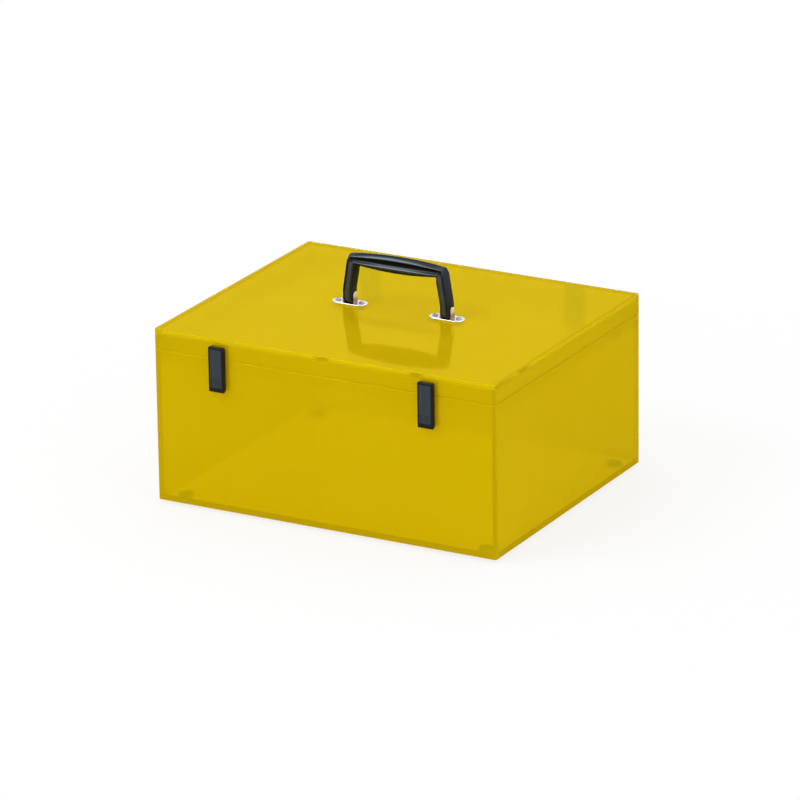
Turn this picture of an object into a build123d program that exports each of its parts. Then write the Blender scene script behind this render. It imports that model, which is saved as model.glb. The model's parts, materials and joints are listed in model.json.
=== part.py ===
"""Specimen transport box.

A box of translucent sheet plastic, welded edge to edge, with a lid that is hinged at the rear.
Two snap latches hold the lid at the front, and a folding handle stands on chromed seats.
Four rubber feet carry it.

Millimetres, +Z up, front at -Y. The origin is on the surface that the feet rest on, under the
middle of the box.
"""
import os

from build123d import *

# ---------------------------------------------------------------- driving dimensions (mm)

# Box
BOX_WIDTH = 360.0  # outside, side to side
BOX_DEPTH = 294.0  # outside, front to rear
BODY_HEIGHT = 150.0  # body walls, from their lower edge to the seam
LID_HEIGHT = 20.0  # seam to the top of the lid
WALL = 5.0  # sheet of the body and of the lid's rim
TOP_SHEET = 5.0  # sheet of the lid's top
CORNER_RADIUS = 2.5  # rounded upright corners
EDGE_ROUND = 0.6  # broken edges of the sheets

# Lip strips inside the body walls, which centre the lid
LIP_SHEET = 3.0
LIP_BELOW_SEAM = 12.0
LIP_HEAD_GAP = 3.0  # lip's upper edge to the lid's top sheet
LIP_CLEARANCE = 0.8  # lip to the inside of the lid's rim

# Feet
FOOT_DIAMETER = 14.5
FOOT_HEIGHT = 3.5
FOOT_INSET = 20.0  # foot's centre to the box's outer faces
FOOT_EDGE_ROUND = 0.8
FOOT_RECESS_RADIUS = 3.6
FOOT_RECESS_DEPTH = 2.0

# Latches and hinges both stand this far out of the box
FITTING_REACH = 6.2
RUNNING_GAP = 0.3  # free space around what turns

# Latches
LATCH_WIDTH = 16.0
LATCH_LENGTH = 44.8
LATCH_INSET = 69.5  # latch's middle to the box's side
LATCH_BELOW_TOP = 6.5  # lid's top to the lever's upper end
LEVER_WALL_GAP = 0.35  # lever's back to the wall behind it
LATCH_PIN_RADIUS = 0.75
LUG_FRONT_GAP = 0.3  # lug to the inside of the lever's front wall
LATCH_LUG_WIDTH = 6.0
LEVER_FRONT_WALL = 1.2
LEVER_SIDE_WALL = 1.5
LEVER_EDGE_ROUND = 1.0
LEVER_CORNER_RADIUS = 1.5  # upper corners, seen from the front
LEVER_UNDERCUT = 2.8  # how much higher the lower end is at its back
LEVER_LOWER_WALL = 2.2
LATCH_PLATE_SHEET = 1.2  # base plates of latch and keeper
LATCH_PLATE_FROM_SEAM = 1.2
LATCH_SCREW_EDGE = 2.5  # plate's side to the middle of each screw
BASE_SCREW_BELOW_MIDDLE = 0.45  # base's screws under the middle of its plate
KEEPER_SCREW_BELOW_SEAM = 8.0
NOSE_BELOW_SEAM = 17.5
NOSE_HEIGHT = 2.5
NOSE_REACH = 2.6  # out of the wall
CATCH_HEIGHT = 2.0
GRIP_GROOVES = 5
GRIP_GROOVE_PITCH = 1.9
GRIP_GROOVE_RADIUS = 0.55
GRIP_GROOVE_DEPTH = 0.4
GRIP_ABOVE_END = 5.2  # lever's lower end to the lowest groove

# Hinges
HINGE_WIDTH = 21.0
HINGE_INSET = 69.0  # hinge's middle to the box's side
HINGE_ABOVE_SEAM = 13.5
HINGE_BELOW_SEAM = 30.0
HINGE_LEAF_GAP = 0.15  # leaf's outer face to the pin's middle, so that the leaves can fold flat
HINGE_CORNER_RADIUS = 2.0
HINGE_PIN_RADIUS = 1.25
HINGE_SCREW_OFFSET = 6.2  # seam to each row of screws
HINGE_SCREW_SPACING = 9.0

# Handle
HANDLE_PITCH = 104.0  # seat to seat
PIVOT_HEIGHT = 8.6  # lid's top to the handle's pins
NECK_WIDTH = 9.4
NECK_DEPTH = 9.2
NECK_ABOVE_PIVOT = 5.4
LEG_SHOULDER_WIDTH = 101.8  # outside of the legs, where they meet the grip
LEG_SHOULDER_INNER = 85.2  # inside of the legs, where they meet the grip
GRIP_TOP_END = 49.8  # heights over the lid's top
GRIP_TOP_MIDDLE = 53.2
GRIP_UNDER_END = 40.2
GRIP_UNDER_MIDDLE = 38.0
GRIP_DEPTH_END = 10.4
GRIP_DEPTH_MIDDLE = 13.6
GRIP_CORNER_RADIUS = 2.4  # where the legs meet the grip, outside
GRIP_INNER_RADIUS = 2.0  # and inside
NECK_BEND_RADIUS = 6.0
HANDLE_EDGE_ROUND = 2.0
RECESS_FLOOR = 5.2  # handle's middle plane to the floor of its recesses
RECESS_UPPER_RIM = 3.6  # grip's top to its recess
RECESS_LOWER_RIM = 8.0  # grip's recess to its underside
RECESS_END_HEIGHT = 1.2
LEG_RECESS_FLOOR = 4.4
LEG_RECESS_WIDTH = 2.8
HANDLE_PIN_RADIUS = 2.0
HANDLE_PIN_HEAD_RADIUS = 3.0
HANDLE_PIN_HEAD = 0.9
HANDLE_PIN_HEAD_ROUND = 0.5

# Handle seats
SEAT_LENGTH = 36.5
SEAT_WIDTH = 15.0
SEAT_SHEET = 1.6
SEAT_EDGE_ROUND = 0.7
EAR_SHEET = 1.3
EAR_DEPTH = 8.6
SEAT_SCREW_SPACING = 25.0

# Screws and nuts
M3_RADIUS = 1.5
M3_HEAD_RADIUS = 2.75
M3_HEAD_HEIGHT = 1.7
M3_HOLE_RADIUS = 1.7
M3_NUT_FLATS = 5.5
M3_NUT_HEIGHT = 2.4
M3_WASHER_RADIUS = 3.5
M3_WASHER_SHEET = 0.5
M3_TIP = 1.0  # screw end past its nut
TAPPING_RADIUS = 1.25
TAPPING_DEPTH = 3.6  # in the sheet
TAPPING_HEAD_RADIUS = 2.2
TAPPING_HEAD_HEIGHT = 1.2
SCREW_TIP_GAP = 0.3  # screw's end to the bottom of a blind hole
TIP_WIDTH_SHARE = 0.6  # screw's end over its shaft
TIP_LENGTH_SHARE = 0.4  # tapered end over the shaft's radius
HEAD_RIM_SHARE = 0.4  # upright rim of a pan head over the head's height
HEAD_CROWN_SHARE = 1.6  # crown's radius over the head's radius
CROSS_SHARE = 0.6  # cross recess over the head's width
CROSS_WIDTH = 0.7
CROSS_DEPTH = 0.6

# Fits
SEATED_GAP = 0.02  # radial, pin or screw held in its hole
COUNTERSINK_GAP = 0.06  # radial, flat head in its countersink
PIVOT_GAP = 0.05  # radial, pin that turns in its hole

SAME_HEIGHT = 0.01  # edges this close in height count as level

# ---------------------------------------------------------------- derived places

SEAM_Z = FOOT_HEIGHT + BODY_HEIGHT
LID_TOP_Z = SEAM_Z + LID_HEIGHT
RIM_HEIGHT = LID_HEIGHT - TOP_SHEET
INNER_WIDTH = BOX_WIDTH - 2 * WALL
INNER_DEPTH = BOX_DEPTH - 2 * WALL
FRONT_Y = -BOX_DEPTH / 2
REAR_Y = BOX_DEPTH / 2
SIDES = {"left": -1, "right": 1}

# Planes on the outer faces: local x runs sideways, local y is height, the normal points out
FRONT_FACE = Plane(origin=(0, FRONT_Y, 0), x_dir=(1, 0, 0), z_dir=(0, -1, 0))
REAR_FACE = Plane(origin=(0, REAR_Y, 0), x_dir=(-1, 0, 0), z_dir=(0, 1, 0))
LID_TOP = Plane.XY.offset(LID_TOP_Z)

# The handle's middle plane, seen from the front and from the rear, with height over the lid
HANDLE_FRONT = Plane(origin=(0, 0, LID_TOP_Z), x_dir=(1, 0, 0), z_dir=(0, -1, 0))
HANDLE_REAR = Plane(origin=(0, 0, LID_TOP_Z), x_dir=(-1, 0, 0), z_dir=(0, 1, 0))

latch_x = BOX_WIDTH / 2 - LATCH_INSET
hinge_x = BOX_WIDTH / 2 - HINGE_INSET
foot_x = BOX_WIDTH / 2 - FOOT_INSET
foot_y = BOX_DEPTH / 2 - FOOT_INSET
handle_x = HANDLE_PITCH / 2

lip_above_seam = RIM_HEIGHT - LIP_HEAD_GAP

latch_axis_out = FITTING_REACH / 2
lever_end_radius = latch_axis_out - LEVER_WALL_GAP  # also from the pin up to the lever's end
latch_axis_z = LID_TOP_Z - LATCH_BELOW_TOP - lever_end_radius
lever_bottom_z = LID_TOP_Z - LATCH_BELOW_TOP - LATCH_LENGTH
lever_cavity_width = LATCH_WIDTH - 2 * LEVER_SIDE_WALL
lever_cavity_front = FITTING_REACH - LEVER_FRONT_WALL
plate_width = lever_cavity_width - 2 * RUNNING_GAP
latch_screw_spacing = plate_width - 2 * LATCH_SCREW_EDGE
lug_radius = lever_cavity_front - latch_axis_out - LUG_FRONT_GAP
lever_sweep = lever_end_radius + RUNNING_GAP  # kept free around the pin as the lever turns
base_plate_top = latch_axis_z - lever_sweep
base_plate_bottom = SEAM_Z + LATCH_PLATE_FROM_SEAM
base_screw_z = (base_plate_top + base_plate_bottom) / 2 - BASE_SCREW_BELOW_MIDDLE
keeper_screw_z = SEAM_Z - KEEPER_SCREW_BELOW_SEAM

knuckle_radius = (FITTING_REACH - RUNNING_GAP) / 2
hinge_axis_out = knuckle_radius + RUNNING_GAP
knuckle_length = (HINGE_WIDTH - 2 * RUNNING_GAP) / 3
leaf_start = hinge_axis_out + RUNNING_GAP  # plates start this far from the seam
hinge_leaf_sheet = hinge_axis_out - HINGE_LEAF_GAP

pivot_z = LID_TOP_Z + PIVOT_HEIGHT
ear_gap = NECK_WIDTH + 2 * RUNNING_GAP
ear_span = ear_gap + 2 * EAR_SHEET


def pair(middle, spacing):
    """Two positions at equal distances from a middle one."""
    return [middle - spacing / 2, middle + spacing / 2]


latch_screw_xs = pair(-latch_x, latch_screw_spacing) + pair(latch_x, latch_screw_spacing)
base_screw_points = [(x, base_screw_z) for x in latch_screw_xs]
keeper_screw_points = [(x, keeper_screw_z) for x in latch_screw_xs]
hinge_screw_xs = pair(-hinge_x, HINGE_SCREW_SPACING) + pair(hinge_x, HINGE_SCREW_SPACING)
hinge_lid_screw_points = [(x, SEAM_Z + HINGE_SCREW_OFFSET) for x in hinge_screw_xs]
hinge_body_screw_points = [(x, SEAM_Z - HINGE_SCREW_OFFSET) for x in hinge_screw_xs]
foot_points = [(x, y) for x in (-foot_x, foot_x) for y in (-foot_y, foot_y)]
seat_screw_xs = pair(-handle_x, SEAT_SCREW_SPACING) + pair(handle_x, SEAT_SCREW_SPACING)
seat_screw_points = [(x, 0) for x in seat_screw_xs]


# ---------------------------------------------------------------- helpers


def export_piece(piece, name):
    """Labels a finished piece and writes its STEP file."""
    piece.part.label = name
    export_step(piece.part, f"parts/{name}.step")


def tapped_holes(plane, points):
    """Blind holes for tapping screws, cut into the part being built."""
    with Locations(plane):
        with Locations(*points):
            Hole(TAPPING_RADIUS + SEATED_GAP, depth=TAPPING_DEPTH)


def cross_recesses(plane, points, head_radius):
    """Cross recesses in screw heads, whose outer faces lie in the plane."""
    with Locations(plane):
        with Locations(*points):
            for angle in (0, 90):
                Box(
                    2 * head_radius * CROSS_SHARE,
                    CROSS_WIDTH,
                    2 * CROSS_DEPTH,
                    rotation=(0, 0, angle),
                    mode=Mode.SUBTRACT,
                )


def pan_screws(plane, points, shaft_radius, shaft_length, head_radius, head_height):
    """Pan-head screws, one solid each. Their heads' undersides lie in the plane."""
    with BuildPart() as screws:
        with BuildSketch(Plane.XZ):
            with BuildLine():
                Polyline(
                    (0, -shaft_length),
                    (shaft_radius * TIP_WIDTH_SHARE, -shaft_length),
                    (shaft_radius, -shaft_length + shaft_radius * TIP_LENGTH_SHARE),
                    (shaft_radius, 0),
                    (head_radius, 0),
                    (head_radius, head_height * HEAD_RIM_SHARE),
                )
                RadiusArc(
                    (head_radius, head_height * HEAD_RIM_SHARE),
                    (0, head_height),
                    -HEAD_CROWN_SHARE * head_radius,
                )
                Line((0, head_height), (0, -shaft_length))
            make_face()
        revolve(axis=Axis.Z)
        cross_recesses(Plane.XY.offset(head_height), [(0, 0)], head_radius)
    with BuildPart() as group:
        with Locations(plane):
            with Locations(*points):
                add(screws.part)
    return group


def flat_screws(plane, points):
    """Countersunk tapping screws, one solid each. Their flat heads lie in the plane."""
    shaft_length = hinge_leaf_sheet + TAPPING_DEPTH - SCREW_TIP_GAP
    neck = TAPPING_HEAD_RADIUS - TAPPING_RADIUS
    with BuildPart() as screws:
        with BuildSketch(Plane.XZ):
            with BuildLine():
                Polyline(
                    (0, -shaft_length),
                    (TAPPING_RADIUS * TIP_WIDTH_SHARE, -shaft_length),
                    (TAPPING_RADIUS, -shaft_length + TAPPING_RADIUS * TIP_LENGTH_SHARE),
                    (TAPPING_RADIUS, -neck),
                    (TAPPING_HEAD_RADIUS, 0),
                    (0, 0),
                    close=True,
                )
            make_face()
        revolve(axis=Axis.Z)
        cross_recesses(Plane.XY, [(0, 0)], TAPPING_HEAD_RADIUS)
    with BuildPart() as group:
        with Locations(plane):
            with Locations(*points):
                add(screws.part)
    return group


# ---------------------------------------------------------------- sheets of body and lid


def wide_wall(side, bottom, height, holes_plane=None, hole_points=()):
    """A wall over the box's full width, at the front (side -1) or the rear (side 1)."""
    with BuildPart() as wall:
        with BuildSketch(Plane.XY.offset(bottom)):
            with Locations((0, side * (BOX_DEPTH - WALL) / 2)):
                Rectangle(BOX_WIDTH, WALL)
        extrude(amount=height)
        outer_face = wall.faces().sort_by(Axis.Y)[0 if side < 0 else -1]
        fillet(outer_face.edges().filter_by(Axis.Z), CORNER_RADIUS)
        outer_face = wall.faces().sort_by(Axis.Y)[0 if side < 0 else -1]
        fillet(outer_face.edges().filter_by(Axis.X), EDGE_ROUND)
        if hole_points:
            tapped_holes(holes_plane, hole_points)
    return wall


def side_wall(side, bottom, height):
    """A wall between the front and rear walls, at the left (side -1) or the right (side 1)."""
    with BuildPart() as wall:
        with BuildSketch(Plane.XY.offset(bottom)):
            with Locations((side * (BOX_WIDTH - WALL) / 2, 0)):
                Rectangle(WALL, INNER_DEPTH)
        extrude(amount=height)
        outer_face = wall.faces().sort_by(Axis.X)[0 if side < 0 else -1]
        fillet(outer_face.edges().filter_by(Axis.Y), EDGE_ROUND)
    return wall


def lip_profile():
    """Points of a lip strip's section: x is inwards from the wall, y is height over the seam."""
    return [
        (0, -LIP_BELOW_SEAM),
        (LIP_SHEET, -LIP_BELOW_SEAM),
        (LIP_SHEET, lip_above_seam),
        (LIP_CLEARANCE, lip_above_seam),
        (LIP_CLEARANCE, 0),
        (0, 0),
    ]


def wide_lip(side):
    """A lip strip along the front (side -1) or rear (side 1) wall."""
    section = Plane(
        origin=(-INNER_WIDTH / 2, side * INNER_DEPTH / 2, SEAM_Z),
        x_dir=(0, -side, 0),
        z_dir=(-side, 0, 0),
    )
    with BuildPart() as lip:
        with BuildSketch(section):
            with BuildLine():
                Polyline(*lip_profile(), close=True)
            make_face()
        extrude(amount=-side * INNER_WIDTH)
    return lip


def side_lip(side):
    """A lip strip along the left (side -1) or right (side 1) wall, between the wide ones."""
    length = INNER_DEPTH - 2 * LIP_SHEET
    section = Plane(
        origin=(side * INNER_WIDTH / 2, -length / 2, SEAM_Z),
        x_dir=(-side, 0, 0),
        z_dir=(0, side, 0),
    )
    with BuildPart() as lip:
        with BuildSketch(section):
            with BuildLine():
                Polyline(*lip_profile(), close=True)
            make_face()
        extrude(amount=side * length)
    return lip


with BuildPart() as bottom_panel:
    with BuildSketch(Plane.XY.offset(FOOT_HEIGHT)):
        Rectangle(INNER_WIDTH, INNER_DEPTH)
    extrude(amount=WALL)
    with Locations(*[Location((x, y, FOOT_HEIGHT), (180, 0, 0)) for x, y in foot_points]):
        Hole(TAPPING_RADIUS + SEATED_GAP, depth=TAPPING_DEPTH)

with BuildPart() as lid_top_panel:
    with BuildSketch(Plane.XY.offset(LID_TOP_Z - TOP_SHEET)):
        Rectangle(BOX_WIDTH, BOX_DEPTH)
    extrude(amount=TOP_SHEET)
    fillet(lid_top_panel.edges().filter_by(Axis.Z), CORNER_RADIUS)
    fillet(lid_top_panel.faces().sort_by(Axis.Z)[-1].edges(), EDGE_ROUND)
    with Locations(LID_TOP):
        with Locations(*seat_screw_points):
            Hole(M3_HOLE_RADIUS, depth=TOP_SHEET)

front_panel = wide_wall(-1, FOOT_HEIGHT, BODY_HEIGHT, FRONT_FACE, keeper_screw_points)
rear_panel = wide_wall(1, FOOT_HEIGHT, BODY_HEIGHT, REAR_FACE, hinge_body_screw_points)
left_panel = side_wall(-1, FOOT_HEIGHT, BODY_HEIGHT)
right_panel = side_wall(1, FOOT_HEIGHT, BODY_HEIGHT)
lid_front_rim = wide_wall(-1, SEAM_Z, RIM_HEIGHT, FRONT_FACE, base_screw_points)
lid_rear_rim = wide_wall(1, SEAM_Z, RIM_HEIGHT, REAR_FACE, hinge_lid_screw_points)
lid_left_rim = side_wall(-1, SEAM_Z, RIM_HEIGHT)
lid_right_rim = side_wall(1, SEAM_Z, RIM_HEIGHT)
lip_front = wide_lip(-1)
lip_rear = wide_lip(1)
lip_left = side_lip(-1)
lip_right = side_lip(1)


# ---------------------------------------------------------------- feet


def rubber_foot(x, y):
    """A round foot with a recess for its screw."""
    with BuildPart() as foot:
        with BuildSketch():
            with Locations((x, y)):
                Circle(FOOT_DIAMETER / 2)
        extrude(amount=FOOT_HEIGHT)
        fillet(foot.faces().sort_by(Axis.Z)[0].edges(), FOOT_EDGE_ROUND)
        with Locations(Location((x, y, 0), (180, 0, 0))):
            CounterBoreHole(
                TAPPING_RADIUS + SEATED_GAP, FOOT_RECESS_RADIUS, FOOT_RECESS_DEPTH, depth=FOOT_HEIGHT
            )
    return foot


foot_screws = pan_screws(
    Plane(origin=(0, 0, FOOT_RECESS_DEPTH), x_dir=(1, 0, 0), z_dir=(0, 0, -1)),
    [(x, -y) for x, y in foot_points],
    TAPPING_RADIUS,
    FOOT_HEIGHT - FOOT_RECESS_DEPTH + TAPPING_DEPTH - SCREW_TIP_GAP,
    M3_HEAD_RADIUS,
    TAPPING_HEAD_HEIGHT,
)


# ---------------------------------------------------------------- latches


def latch_base(x):
    """Plate on the lid's front rim, with the lug that carries the lever's pin.

    The plate ends below the lever's sweep, and only the lug's narrow foot runs on up behind it.
    """
    with BuildPart() as base:
        with BuildSketch(FRONT_FACE):
            with Locations((x, (base_plate_top + base_plate_bottom) / 2)):
                RectangleRounded(plate_width, base_plate_top - base_plate_bottom, LEVER_EDGE_ROUND)
        extrude(amount=LATCH_PLATE_SHEET)
        with BuildSketch(Plane.YZ.offset(x)):
            with Locations((FRONT_Y - latch_axis_out, latch_axis_z)):
                Circle(lug_radius)
            with Locations((FRONT_Y - latch_axis_out / 2, latch_axis_z)):
                Rectangle(latch_axis_out, 2 * lug_radius)
            with Locations((FRONT_Y - LATCH_PLATE_SHEET / 2, (base_screw_z + latch_axis_z) / 2)):
                Rectangle(LATCH_PLATE_SHEET, latch_axis_z - base_screw_z)
        extrude(amount=LATCH_LUG_WIDTH / 2, both=True)
        with BuildSketch(Plane.YZ.offset(x)):
            with Locations((FRONT_Y - latch_axis_out, latch_axis_z)):
                Circle(LATCH_PIN_RADIUS + SEATED_GAP)
        extrude(amount=LATCH_LUG_WIDTH, both=True, mode=Mode.SUBTRACT)
        with Locations(FRONT_FACE.offset(LATCH_PLATE_SHEET)):
            with Locations(*[(screw_x, base_screw_z) for screw_x in pair(x, latch_screw_spacing)]):
                Hole(TAPPING_RADIUS + SEATED_GAP, depth=LATCH_PLATE_SHEET)
    return base


def latch_keeper(x):
    """Plate on the body's front, with the nose that the lever snaps over."""
    top_z = SEAM_Z - LATCH_PLATE_FROM_SEAM
    bottom_z = lever_bottom_z + LEVER_UNDERCUT + LEVER_LOWER_WALL
    nose_top_z = SEAM_Z - NOSE_BELOW_SEAM
    with BuildPart() as keeper:
        with BuildSketch(FRONT_FACE):
            with Locations((x, (top_z + bottom_z) / 2)):
                RectangleRounded(plate_width, top_z - bottom_z, LEVER_EDGE_ROUND)
        extrude(amount=LATCH_PLATE_SHEET)
        with BuildSketch(Plane.YZ.offset(x)):
            with BuildLine():
                Polyline(
                    (FRONT_Y, nose_top_z + NOSE_REACH),
                    (FRONT_Y - NOSE_REACH, nose_top_z),
                    (FRONT_Y - NOSE_REACH, nose_top_z - NOSE_HEIGHT),
                    (FRONT_Y, nose_top_z - NOSE_HEIGHT),
                    close=True,
                )
            make_face()
        extrude(amount=plate_width / 2 - LEVER_EDGE_ROUND, both=True)
        with Locations(FRONT_FACE.offset(LATCH_PLATE_SHEET)):
            with Locations(*[(screw_x, keeper_screw_z) for screw_x in pair(x, latch_screw_spacing)]):
                Hole(TAPPING_RADIUS + SEATED_GAP, depth=LATCH_PLATE_SHEET)
    return keeper


def latch_lever(x):
    """Hollow cover that turns on the base's pin and snaps over the keeper's nose."""
    top_z = latch_axis_z + lever_end_radius
    axis_y = FRONT_Y - latch_axis_out
    front_y = FRONT_Y - FITTING_REACH
    back_y = axis_y + lever_end_radius
    catch_top_z = SEAM_Z - NOSE_BELOW_SEAM - NOSE_HEIGHT - RUNNING_GAP
    catch_back_y = FRONT_Y - NOSE_REACH - RUNNING_GAP
    round_middle = lever_end_radius / 2**0.5  # halfway along the rounding
    with BuildPart() as lever:
        # Outer shape, with its rear upper corner rounded about the pin
        with BuildSketch(Plane.YZ.offset(x)):
            with BuildLine():
                Polyline(
                    (axis_y, top_z),
                    (front_y, top_z),
                    (front_y, lever_bottom_z),
                    (back_y, lever_bottom_z + LEVER_UNDERCUT),
                    (back_y, latch_axis_z),
                )
                ThreePointArc(
                    (back_y, latch_axis_z),
                    (axis_y + round_middle, latch_axis_z + round_middle),
                    (axis_y, top_z),
                )
            make_face()
        extrude(amount=LATCH_WIDTH / 2, both=True)
        fillet(lever.edges().filter_by(Axis.Y).group_by(Axis.Z)[-1], LEVER_CORNER_RADIUS)
        front = lever.faces().filter_by(Axis.Y).sort_by(Axis.Y)[0]
        fillet(front.edges(), LEVER_EDGE_ROUND)
        # Channel for the base and the keeper, open to the rear
        cavity_top_z = latch_axis_z + lug_radius + RUNNING_GAP
        cavity_bottom_z = lever_bottom_z + LEVER_LOWER_WALL
        cavity_front_y = FRONT_Y - lever_cavity_front
        with BuildSketch(Plane.XZ.offset(-cavity_front_y)):
            with Locations((x, (cavity_top_z + cavity_bottom_z) / 2)):
                Rectangle(lever_cavity_width, cavity_top_z - cavity_bottom_z)
        extrude(amount=-lever_cavity_front, mode=Mode.SUBTRACT)
        # Opening below, wide enough for the keeper to leave the channel
        with BuildSketch(Plane.XY.offset(lever_bottom_z)):
            with Locations((x, (catch_back_y + FRONT_Y) / 2)):
                Rectangle(lever_cavity_width, FRONT_Y - catch_back_y)
        extrude(amount=LEVER_LOWER_WALL + LEVER_UNDERCUT, mode=Mode.SUBTRACT)
        # Slot above, for the lug
        with BuildSketch(Plane.XY.offset(latch_axis_z)):
            with Locations((x, FRONT_Y - lever_cavity_front / 2)):
                Rectangle(LATCH_LUG_WIDTH + 2 * RUNNING_GAP, lever_cavity_front)
        extrude(amount=lever_end_radius, mode=Mode.SUBTRACT)
        # Catch under the keeper's nose
        with BuildSketch(Plane.XY.offset(catch_top_z)):
            with Locations((x, (catch_back_y + cavity_front_y) / 2)):
                Rectangle(lever_cavity_width, catch_back_y - cavity_front_y)
        extrude(amount=-CATCH_HEIGHT)
        # Pin holes
        with BuildSketch(Plane.YZ.offset(x)):
            with Locations((axis_y, latch_axis_z)):
                Circle(LATCH_PIN_RADIUS + PIVOT_GAP)
        extrude(amount=LATCH_WIDTH, both=True, mode=Mode.SUBTRACT)
        # Grip grooves across the lower end
        groove_z = [
            lever_bottom_z + GRIP_ABOVE_END + index * GRIP_GROOVE_PITCH for index in range(GRIP_GROOVES)
        ]
        with BuildSketch(Plane.YZ.offset(x)):
            with Locations(*[(front_y - GRIP_GROOVE_RADIUS + GRIP_GROOVE_DEPTH, z) for z in groove_z]):
                Circle(GRIP_GROOVE_RADIUS)
        extrude(amount=LATCH_WIDTH / 2 - LEVER_EDGE_ROUND, both=True, mode=Mode.SUBTRACT)
    return lever


def latch_pin(x):
    """Steel pin through the lug and the lever's side walls."""
    with BuildPart() as pin:
        with BuildSketch(Plane.YZ.offset(x)):
            with Locations((FRONT_Y - latch_axis_out, latch_axis_z)):
                Circle(LATCH_PIN_RADIUS)
        extrude(amount=LATCH_WIDTH / 2 - RUNNING_GAP, both=True)
    return pin


plate_front = FRONT_FACE.offset(LATCH_PLATE_SHEET)
plate_screw_length = LATCH_PLATE_SHEET + TAPPING_DEPTH - SCREW_TIP_GAP
latch_base_screws = pan_screws(
    plate_front,
    base_screw_points,
    TAPPING_RADIUS,
    plate_screw_length,
    TAPPING_HEAD_RADIUS,
    TAPPING_HEAD_HEIGHT,
)
keeper_screws = pan_screws(
    plate_front,
    keeper_screw_points,
    TAPPING_RADIUS,
    plate_screw_length,
    TAPPING_HEAD_RADIUS,
    TAPPING_HEAD_HEIGHT,
)


# ---------------------------------------------------------------- hinges


def hinge_leaf(x, direction, reach, knuckle_spans):
    """A hinge leaf over (direction 1) or under (direction -1) the seam.

    knuckle_spans are the start and length of each of its knuckles along X, from the leaf's left.
    """
    far_z = SEAM_Z + direction * reach
    near_z = SEAM_Z + direction * leaf_start
    axis_y = REAR_Y + hinge_axis_out
    with BuildPart() as leaf:
        with BuildSketch(REAR_FACE):
            with Locations((-x, (far_z + near_z) / 2)):
                Rectangle(HINGE_WIDTH, abs(far_z - near_z))
        extrude(amount=hinge_leaf_sheet)
        far_corners = leaf.edges().filter_by(Axis.Y).group_by(Axis.Z)[-1 if direction > 0 else 0]
        fillet(far_corners, HINGE_CORNER_RADIUS)
        outer = leaf.faces().filter_by(Axis.Y).sort_by(Axis.Y)[-1]
        near_edge = outer.edges().filter_by(Axis.X).sort_by(Axis.Z)[0 if direction > 0 else -1]
        fillet(outer.edges() - ShapeList([near_edge]), EDGE_ROUND)
        for start, length in knuckle_spans:
            with BuildSketch(Plane.YZ.offset(x - HINGE_WIDTH / 2 + start)):
                with Locations((axis_y, SEAM_Z)):
                    Circle(knuckle_radius)
                with Locations((REAR_Y + hinge_leaf_sheet / 2, (SEAM_Z + near_z) / 2)):
                    Rectangle(hinge_leaf_sheet, abs(near_z - SEAM_Z))
            extrude(amount=length)
        bore = HINGE_PIN_RADIUS + (PIVOT_GAP if direction > 0 else SEATED_GAP)
        with BuildSketch(Plane.YZ.offset(x)):
            with Locations((axis_y, SEAM_Z)):
                Circle(bore)
        extrude(amount=HINGE_WIDTH, both=True, mode=Mode.SUBTRACT)
        screw_z = SEAM_Z + direction * HINGE_SCREW_OFFSET
        with Locations(REAR_FACE.offset(hinge_leaf_sheet)):
            with Locations(*[(screw_x, screw_z) for screw_x in pair(-x, HINGE_SCREW_SPACING)]):
                CounterSinkHole(
                    TAPPING_RADIUS + SEATED_GAP,
                    TAPPING_HEAD_RADIUS + COUNTERSINK_GAP,
                    depth=hinge_leaf_sheet,
                    counter_sink_angle=90,
                )
    return leaf


def hinge_pin(x):
    """Steel pin through the knuckles of one hinge."""
    with BuildPart() as pin:
        with BuildSketch(Plane.YZ.offset(x)):
            with Locations((REAR_Y + hinge_axis_out, SEAM_Z)):
                Circle(HINGE_PIN_RADIUS)
        extrude(amount=HINGE_WIDTH / 2, both=True)
        fillet(pin.edges().filter_by(GeomType.CIRCLE), RUNNING_GAP)
    return pin


middle_knuckle = [(knuckle_length + RUNNING_GAP, knuckle_length)]
outer_knuckles = [(0, knuckle_length), (HINGE_WIDTH - knuckle_length, knuckle_length)]
leaf_outside = REAR_FACE.offset(hinge_leaf_sheet)
hinge_lid_screws = flat_screws(leaf_outside, hinge_lid_screw_points)
hinge_body_screws = flat_screws(leaf_outside, hinge_body_screw_points)


# ---------------------------------------------------------------- handle


def handle_seat(x):
    """Chromed plate with two ears, between which the handle's neck turns."""
    with BuildPart() as seat:
        with BuildSketch(LID_TOP):
            with Locations((x, 0)):
                SlotOverall(SEAT_LENGTH, SEAT_WIDTH)
        extrude(amount=SEAT_SHEET)
        fillet(seat.faces().sort_by(Axis.Z)[-1].edges(), SEAT_EDGE_ROUND)
        for side in SIDES.values():
            inner_x = x + side * ear_gap / 2
            with BuildSketch(Plane.YZ.offset(inner_x)):
                with Locations((0, pivot_z)):
                    Circle(EAR_DEPTH / 2)
                with Locations((0, (LID_TOP_Z + pivot_z) / 2)):
                    Rectangle(EAR_DEPTH, PIVOT_HEIGHT)
            extrude(amount=side * EAR_SHEET)
        with BuildSketch(Plane.YZ.offset(x)):
            with Locations((0, pivot_z)):
                Circle(HANDLE_PIN_RADIUS + SEATED_GAP)
        extrude(amount=SEAT_LENGTH, both=True, mode=Mode.SUBTRACT)
        with Locations(LID_TOP.offset(SEAT_SHEET)):
            with Locations(*[(screw_x, 0) for screw_x in pair(x, SEAT_SCREW_SPACING)]):
                Hole(M3_HOLE_RADIUS, depth=SEAT_SHEET)
    return seat


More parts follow.
